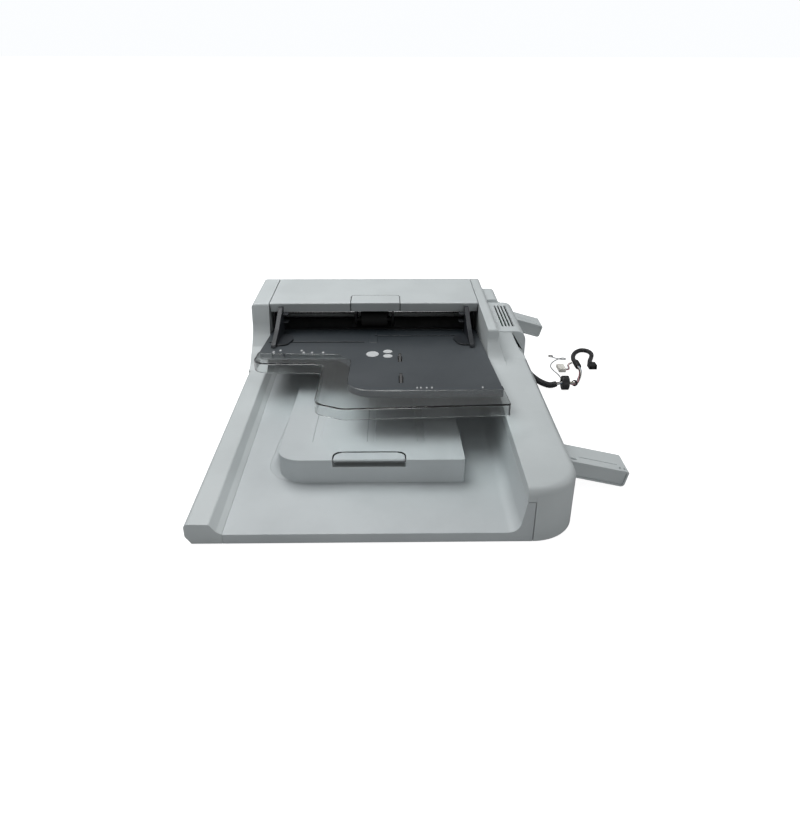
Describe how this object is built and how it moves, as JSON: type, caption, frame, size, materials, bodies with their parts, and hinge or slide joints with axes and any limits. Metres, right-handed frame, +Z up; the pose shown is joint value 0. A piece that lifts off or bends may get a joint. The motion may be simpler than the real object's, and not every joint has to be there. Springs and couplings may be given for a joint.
{
  "type": "sheet feeder lid of a wide-format copier",
  "caption": "Flat office sheet feeder lid: feed head with hinged jam cover, dark input tray with clear edge and sliding width guides, output bin below, hinge posts and a loose cable harness.",
  "frame": {"origin": "middle of the lid's outline, on the face of the white pad that presses on the glass", "axes": "+X from the feed head to the open end of the output bin, +Y from the user's side to the hinge side, +Z up"},
  "size_m": [0.572, 0.5405, 0.1063],
  "materials": {
    "shell": "fine textured ABS, light warm grey",
    "tray": "fine textured ABS, dark grey",
    "guide": "satin",
    "black": "satin",
    "steel": "zinc plated",
    "motor": "satin",
    "board": "satin laminate",
    "rubber": "matt",
    "gear": "natural acetal",
    "pad": "white film on foam",
    "clear": "clear, polished",
    "sleeve": "woven sleeve and tape",
    "ferrite": "satin",
    "wires": "insulated wires",
    "plug": "natural nylon"
  },
  "bodies": {
    "lid": {"base_frame": "black", "output_bin": "shell", "front_rail": "shell", "rear_deck": "shell", "end_cover": "shell", "platen_pad": "pad", "reading_guide": "pad", "bumpers": "rubber", "case_screws": "steel", "side_frame": "steel", "gear_plate": "steel", "lower_guide": "black", "separation_pad": "rubber", "turn_guide": "black", "exit_guide": "black", "drive_motor": "motor", "control_board": "board", "hinge_brackets": "steel", "hinge_pins": "steel", "cable_grommet": "rubber", "input_tray": "tray", "tray_edge": "clear", "tray_underside": "black", "harness_sleeve": "sleeve", "ferrite_core": "ferrite", "wire_bundle": "wires", "cable_tie": "sleeve", "branch_sleeve": "sleeve", "branch_plug": "black", "connector_lead": "wires", "flat_connector": "plug", "ground_wire": "wires"},
    "cover": {"jam_cover": "shell", "upper_guide": "black"},
    "latch": {"cover_latch": "shell"},
    "pick_arm": {"pick_arm": "black"},
    "pickup": {"pickup_roller": "rubber"},
    "feed": {"feed_roller": "rubber", "feed_shaft": "steel", "feed_gear": "gear"},
    "drum": {"drum_roller": "rubber", "drum_shaft": "steel", "drum_gear": "gear"},
    "idler": {"idler_gear": "gear"},
    "reduction": {"reduction_gear": "gear"},
    "motor_pinion": {"motor_pinion": "gear"},
    "exit": {"exit_roller": "rubber", "exit_shaft": "steel", "exit_gear": "gear"},
    "exit_pinch": {"exit_pinch": "gear"},
    "turn_pinch": {"turn_pinch": "gear"},
    "guide_front": {"width_guide_front": "guide"},
    "guide_rear": {"width_guide_rear": "guide"},
    "guide_pinion": {"guide_pinion": "gear"},
    "flag_far": {"sheet_flag_far": "black"},
    "flag_near": {"sheet_flag_near": "black"},
    "stop": {"output_stop": "shell"},
    "post_near": {"hinge_post_near": "shell"},
    "post_far": {"hinge_post_far": "shell"}
  },
  "joints": [
    {"name": "cover_hinge", "type": "hinge", "parent": "lid", "child": "cover", "pos_m": [-0.2787, -0.016, 0.099], "axis": [0, -1, 0], "range_deg": [0, 75]},
    {"name": "latch_lift", "type": "hinge", "parent": "cover", "child": "latch", "pos_m": [-0.1903, -0.014, 0.1048], "axis": [0, -1, 0], "range_deg": [0, 18], "stiffness_Nm_per_rad": 0.15, "springref_deg": -11.46},
    {"name": "pick_lift", "type": "hinge", "parent": "lid", "child": "pick_arm", "pos_m": [-0.212, -0.016, 0.0735], "axis": [0, -1, 0], "range_deg": [0, 10]},
    {"name": "pickup_spin", "type": "hinge", "parent": "pick_arm", "child": "pickup", "pos_m": [-0.18, -0.016, 0.0715], "axis": [0, 1, 0], "continuous": true},
    {"name": "feed_spin", "type": "hinge", "parent": "lid", "child": "feed", "pos_m": [-0.212, -0.016, 0.0735], "axis": [0, 1, 0], "continuous": true},
    {"name": "drum_spin", "type": "hinge", "parent": "lid", "child": "drum", "pos_m": [-0.244, -0.016, 0.03], "axis": [0, 1, 0], "continuous": true},
    {"name": "idler_spin", "type": "hinge", "parent": "lid", "child": "idler", "pos_m": [-0.208, -0.016, 0.03853], "axis": [0, 1, 0], "continuous": true},
    {"name": "exit_spin", "type": "hinge", "parent": "lid", "child": "exit", "pos_m": [-0.168, -0.016, 0.038], "axis": [0, 1, 0], "continuous": true},
    {"name": "reduction_spin", "type": "hinge", "parent": "lid", "child": "reduction", "pos_m": [-0.13, -0.016, 0.05588], "axis": [0, 1, 0], "continuous": true},
    {"name": "motor_spin", "type": "hinge", "parent": "lid", "child": "motor_pinion", "pos_m": [-0.10301, -0.016, 0.03869], "axis": [0, 1, 0], "continuous": true},
    {"name": "exit_pinch_spin", "type": "hinge", "parent": "lid", "child": "exit_pinch", "pos_m": [-0.168, -0.016, 0.0227], "axis": [0, 1, 0], "continuous": true},
    {"name": "turn_pinch_spin", "type": "hinge", "parent": "lid", "child": "turn_pinch", "pos_m": [-0.2654, -0.016, 0.03], "axis": [0, 1, 0], "continuous": true},
    {"name": "guide_front_slide", "type": "slide", "parent": "lid", "child": "guide_front", "axis": [0, 1, 0], "range_m": [-0.0115, 0.08]},
    {"name": "guide_rear_slide", "type": "slide", "parent": "lid", "child": "guide_rear", "axis": [0, 1, 0], "range_m": [-0.08, 0.0115]},
    {"name": "guide_pinion_spin", "type": "hinge", "parent": "lid", "child": "guide_pinion", "pos_m": [-0.10526, -0.016, 0.06179], "axis": [-0.1155, 0, 0.9933], "range_deg": [-60, 390]},
    {"name": "flag_far_tip", "type": "hinge", "parent": "lid", "child": "flag_far", "pos_m": [0.00708, 0.021, 0.07566], "axis": [0, -1, 0], "range_deg": [0, 15], "stiffness_Nm_per_rad": 0.004, "springref_deg": -11.46},
    {"name": "flag_near_tip", "type": "hinge", "parent": "lid", "child": "flag_near", "pos_m": [0.09408, 0.021, 0.08578], "axis": [0, -1, 0], "range_deg": [0, 15], "stiffness_Nm_per_rad": 0.004, "springref_deg": -11.46},
    {"name": "stop_flip", "type": "hinge", "parent": "lid", "child": "stop", "pos_m": [0.1875, -0.016, 0.0393], "axis": [0, 1, 0], "range_deg": [0, 95]},
    {"name": "post_near_swing", "type": "hinge", "parent": "lid", "child": "post_near", "pos_m": [0.171, 0.186, 0.0327], "axis": [1, 0, 0], "range_deg": [-77, 3]},
    {"name": "post_far_swing", "type": "hinge", "parent": "lid", "child": "post_far", "pos_m": [-0.255, 0.186, 0.049], "axis": [1, 0, 0], "range_deg": [-74, 3]}
  ],
  "couplings": [
    {"joint": "feed_spin", "follows": "drum_spin", "ratio": -0.92857},
    {"joint": "pickup_spin", "follows": "drum_spin", "ratio": -0.92857},
    {"joint": "idler_spin", "follows": "drum_spin", "ratio": -0.68182},
    {"joint": "exit_spin", "follows": "drum_spin", "ratio": 0.83333},
    {"joint": "reduction_spin", "follows": "drum_spin", "ratio": -0.625},
    {"joint": "motor_spin", "follows": "drum_spin", "ratio": 1.875},
    {"joint": "guide_rear_slide", "follows": "guide_front_slide", "ratio": -1},
    {"joint": "guide_pinion_spin", "follows": "guide_front_slide", "rad_per_m": 83.333}
  ]
}
